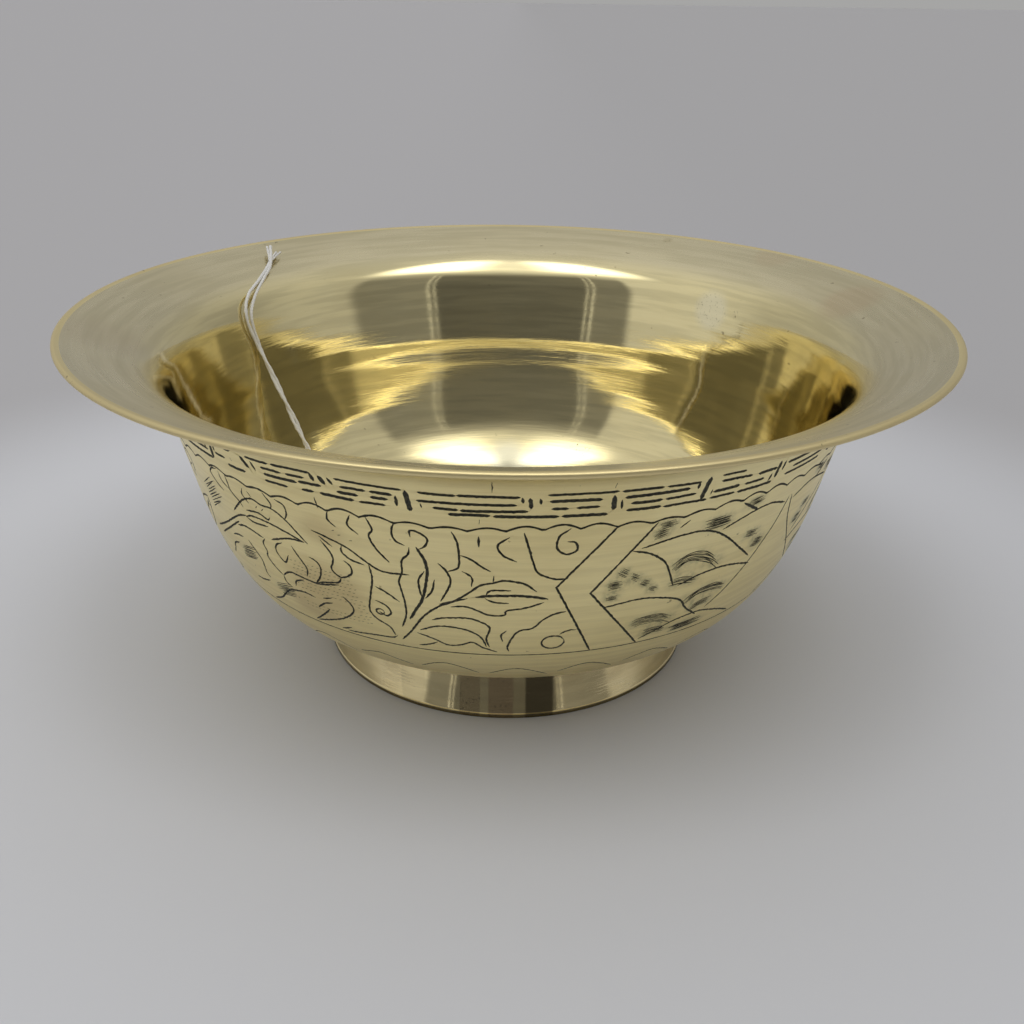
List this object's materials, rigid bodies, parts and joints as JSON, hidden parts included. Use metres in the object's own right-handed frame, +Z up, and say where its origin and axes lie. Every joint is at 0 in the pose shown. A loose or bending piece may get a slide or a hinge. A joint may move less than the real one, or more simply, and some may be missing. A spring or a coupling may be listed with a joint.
{
  "type": "footed bowl",
  "caption": "Wide brass bowl with a flared lip and engraved wall on a soldered foot ring, with a cotton tag string lying inside.",
  "frame": {"origin": "on the table, under the bowl's centre, in the plane of the foot ring's toe", "axes": "+Z up along the bowl's turning axis, -Y towards the front of the pictured side, +X to its right"},
  "size_m": [0.254, 0.254, 0.1063],
  "materials": {
    "bowl_brass": "satin, brushed round, with dark engraved lines outside and a polish inside",
    "foot_brass": "polished",
    "solder": "dull grey soft solder",
    "cotton": "matt white twisted cotton"
  },
  "bodies": {
    "root": {"bowl_shell": "bowl_brass", "foot_ring": "foot_brass", "foot_solder": "solder", "tag_string": "cotton"}
  },
  "joints": []
}
